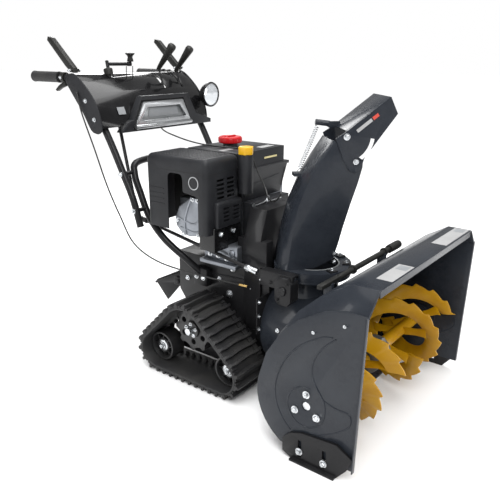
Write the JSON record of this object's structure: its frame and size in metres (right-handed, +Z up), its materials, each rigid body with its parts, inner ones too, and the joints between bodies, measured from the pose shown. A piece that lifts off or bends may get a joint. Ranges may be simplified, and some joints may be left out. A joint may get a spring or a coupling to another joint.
{
  "type": "snow blower",
  "caption": "Walk-behind tracked two-stage snow blower with auger housing, turning discharge chute, engine and rear controls.",
  "frame": {"origin": "on the ground, under the middle of the overall length and width", "axes": "-Y to the front (auger mouth), +Y to the operator's grips, +X to the operator's left, +Z up"},
  "size_m": [0.8008, 1.436, 1.124],
  "materials": {
    "slate_paint": "dark slate-grey gloss powder coat",
    "auger_yellow": "mustard-yellow paint, satin",
    "gearbox_grey": "grey painted casting",
    "zinc": "bright zinc-plated steel",
    "black_paint": "black powder coat, semi-gloss",
    "wheel_black": "black moulded wheels",
    "track_rubber": "matt moulded rubber",
    "lever_plastic": "black moulded plastic",
    "cover_plastic": "dark grey textured moulding",
    "panel_gloss": "gloss black moulding",
    "cap_red": "red moulded plastic",
    "cap_yellow": "yellow moulded plastic"
  },
  "bodies": {
    "machine": {"auger_gearbox": "gearbox_grey", "auger_housing": "slate_paint", "belt_cover": "black_paint", "chassis": "black_paint", "chute_gear_box": "black_paint", "clutch_cable": "track_rubber", "control_panel": "panel_gloss", "deflector_cable": "track_rubber", "drive_belt": "track_rubber", "engine_block": "gearbox_grey", "engine_cover": "cover_plastic", "fuel_tank": "cover_plastic", "grip_left": "track_rubber", "grip_right": "track_rubber", "handlebar_left": "black_paint", "handlebar_right": "black_paint", "impeller_housing": "slate_paint", "lower_frame": "black_paint", "recoil_starter": "black_paint", "rocker_cover": "zinc", "side_plate_left": "slate_paint", "side_plate_right": "slate_paint", "skid_shoe_left": "zinc", "skid_shoe_right": "zinc", "transmission": "gearbox_grey"},
    "auger": {"auger_shaft": "zinc", "auger_right": "auger_yellow", "auger_left": "auger_yellow"},
    "impeller_unit": {"impeller_shaft": "zinc", "impeller": "auger_yellow"},
    "crankshaft_unit": {"crankshaft": "zinc"},
    "chute_turret": {"chute": "slate_paint", "deflector_spring": "zinc"},
    "deflector": {"chute_deflector": "slate_paint"},
    "chute_worm_unit": {"chute_worm": "zinc"},
    "chute_rod_unit": {"chute_rod": "zinc"},
    "crank": {"crank_handle": "zinc"},
    "crank_grip": {"crank_knob": "lever_plastic"},
    "drive_wheels": {"drive_axle": "zinc", "sprocket_right": "wheel_black", "sprocket_left": "wheel_black"},
    "track_unit": {"track_frame": "black_paint", "track_right": "track_rubber", "track_left": "track_rubber"},
    "idler_fr": {"idler_front_right": "wheel_black"},
    "idler_fl": {"idler_front_left": "wheel_black"},
    "idler_rr": {"idler_rear_right": "wheel_black"},
    "idler_rl": {"idler_rear_left": "wheel_black"},
    "fuel_cap_body": {"fuel_cap": "cap_red"},
    "oil_cap_body": {"oil_cap": "cap_yellow"},
    "pull_handle": {"recoil_handle": "lever_plastic"},
    "shift": {"shift_lever": "lever_plastic"},
    "deflector_control": {"deflector_lever": "lever_plastic"},
    "clutch_r": {"clutch_lever_right": "lever_plastic"},
    "clutch_l": {"clutch_lever_left": "lever_plastic"},
    "trigger_r": {"steering_trigger_right": "lever_plastic"},
    "trigger_l": {"steering_trigger_left": "lever_plastic"},
    "lamp": {"headlight": "panel_gloss"},
    "pedal": {"foot_pedal": "black_paint"},
    "tool": {"clean_out_tool": "lever_plastic"}
  },
  "joints": [
    {"name": "impeller_spin", "type": "hinge", "parent": "machine", "child": "impeller_unit", "pos_m": [0, -0.328, 0.211], "axis": [0, 1, 0], "continuous": true},
    {"name": "auger_spin", "type": "hinge", "parent": "machine", "child": "auger", "pos_m": [0, -0.554, 0.175], "axis": [1, 0, 0], "continuous": true},
    {"name": "crankshaft_spin", "type": "hinge", "parent": "machine", "child": "crankshaft_unit", "pos_m": [0, -0.166, 0.545], "axis": [0, 1, 0], "continuous": true},
    {"name": "chute_turn", "type": "hinge", "parent": "machine", "child": "chute_turret", "pos_m": [0, -0.328, 0.42], "axis": [0, 0, 1], "range_deg": [-145, 55], "deforming": ["deflector_cable"]},
    {"name": "chute_worm_spin", "type": "hinge", "parent": "machine", "child": "chute_worm_unit", "pos_m": [-0.14, -0.29, 0.414], "axis": [0, 1, 0], "range_deg": [-1450, 550]},
    {"name": "chute_rod_spin", "type": "hinge", "parent": "machine", "child": "chute_rod_unit", "pos_m": [-0.165, 0.309, 0.512], "axis": [0.0465, -0.98, -0.1934], "range_deg": [-1450, 550]},
    {"name": "crank_turn", "type": "hinge", "parent": "machine", "child": "crank", "pos_m": [-0.118, 0.477, 1.033], "axis": [0.0855, 0.3058, 0.9483], "range_deg": [-1450, 550]},
    {"name": "crank_grip_spin", "type": "hinge", "parent": "crank", "child": "crank_grip", "pos_m": [-0.034, 0.449, 1.045], "axis": [0, 0, 1], "continuous": true},
    {"name": "deflector_tilt", "type": "hinge", "parent": "chute_turret", "child": "deflector", "pos_m": [0.04808, -0.37608, 0.842], "axis": [0.7071, 0.7071, 0], "range_deg": [0, 45], "deforming": ["deflector_spring"]},
    {"name": "deflector_lever_tilt", "type": "hinge", "parent": "machine", "child": "deflector_control", "pos_m": [0.185, 0.405, 0.922], "axis": [1, 0, 0], "range_deg": [-17, 0]},
    {"name": "shift_lever_tilt", "type": "hinge", "parent": "machine", "child": "shift", "pos_m": [0.092, 0.406, 0.93], "axis": [1, 0, 0], "range_deg": [-20, 0]},
    {"name": "drive_spin", "type": "hinge", "parent": "machine", "child": "drive_wheels", "pos_m": [0, -0.006, 0.184], "axis": [1, 0, 0], "continuous": true},
    {"name": "track_pitch", "type": "hinge", "parent": "machine", "child": "track_unit", "pos_m": [0, -0.006, 0.184], "axis": [1, 0, 0], "range_deg": [-3, 8]},
    {"name": "idler_fr_spin", "type": "hinge", "parent": "track_unit", "child": "idler_fr", "pos_m": [-0.208, -0.163, 0.08], "axis": [1, 0, 0], "continuous": true},
    {"name": "idler_fl_spin", "type": "hinge", "parent": "track_unit", "child": "idler_fl", "pos_m": [0.208, -0.163, 0.08], "axis": [1, 0, 0], "continuous": true},
    {"name": "idler_rr_spin", "type": "hinge", "parent": "track_unit", "child": "idler_rr", "pos_m": [-0.208, 0.137, 0.08], "axis": [1, 0, 0], "continuous": true},
    {"name": "idler_rl_spin", "type": "hinge", "parent": "track_unit", "child": "idler_rl", "pos_m": [0.208, 0.137, 0.08], "axis": [1, 0, 0], "continuous": true},
    {"name": "clutch_right_squeeze", "type": "hinge", "parent": "machine", "child": "clutch_r", "pos_m": [-0.253, 0.488, 1.014], "axis": [1, 0, 0], "range_deg": [-34, 0], "stiffness_Nm_per_rad": 1.5, "springref_deg": 17.19},
    {"name": "trigger_right_pull", "type": "hinge", "parent": "machine", "child": "trigger_r", "pos_m": [-0.253, 0.536, 0.972], "axis": [1, 0, 0], "range_deg": [0, 9], "stiffness_Nm_per_rad": 1, "springref_deg": -11.46},
    {"name": "clutch_left_squeeze", "type": "hinge", "parent": "machine", "child": "clutch_l", "pos_m": [0.253, 0.488, 1.014], "axis": [1, 0, 0], "range_deg": [-34, 0], "stiffness_Nm_per_rad": 1.5, "springref_deg": 17.19},
    {"name": "trigger_left_pull", "type": "hinge", "parent": "machine", "child": "trigger_l", "pos_m": [0.253, 0.536, 0.972], "axis": [1, 0, 0], "range_deg": [0, 9], "stiffness_Nm_per_rad": 1, "springref_deg": -11.46},
    {"name": "pedal_press", "type": "hinge", "parent": "machine", "child": "pedal", "pos_m": [0, 0.196, 0.266], "axis": [1, 0, 0], "range_deg": [-15, 0], "stiffness_Nm_per_rad": 20, "springref_deg": 11.46},
    {"name": "headlight_tilt", "type": "hinge", "parent": "machine", "child": "lamp", "pos_m": [0.256, 0.371, 0.917], "axis": [1, 0, 0], "range_deg": [-15, 10]},
    {"name": "fuel_cap_turn", "type": "hinge", "parent": "machine", "child": "fuel_cap_body", "pos_m": [0.072, 0.071, 0.79], "axis": [0, 0, 1], "range_deg": [0, 90]},
    {"name": "oil_cap_turn", "type": "hinge", "parent": "machine", "child": "oil_cap_body", "pos_m": [-0.066, -0.106, 0.77], "axis": [0, 0, 1], "range_deg": [0, 180]},
    {"name": "starter_pull", "type": "slide", "parent": "machine", "child": "pull_handle", "axis": [0, 1, 0], "range_m": [0, 0.5], "stiffness_N_per_m": 2, "springref_m": -0.5},
    {"name": "tool_lift", "type": "slide", "parent": "machine", "child": "tool", "axis": [0, 0, 1], "range_m": [0, 0.15]}
  ],
  "couplings": [
    {"joint": "auger_spin", "follows": "impeller_spin", "ratio": 0.1},
    {"joint": "crankshaft_spin", "follows": "impeller_spin", "ratio": 2.3158},
    {"joint": "chute_worm_spin", "follows": "chute_turn", "ratio": 10},
    {"joint": "chute_rod_spin", "follows": "chute_turn", "ratio": 10},
    {"joint": "crank_turn", "follows": "chute_turn", "ratio": 10},
    {"joint": "deflector_lever_tilt", "follows": "deflector_tilt", "ratio": -0.35},
    {"joint": "idler_fr_spin", "follows": "drive_spin", "ratio": 1.5091},
    {"joint": "idler_fl_spin", "follows": "drive_spin", "ratio": 1.5091},
    {"joint": "idler_rr_spin", "follows": "drive_spin", "ratio": 1.5091},
    {"joint": "idler_rl_spin", "follows": "drive_spin", "ratio": 1.5091}
  ]
}
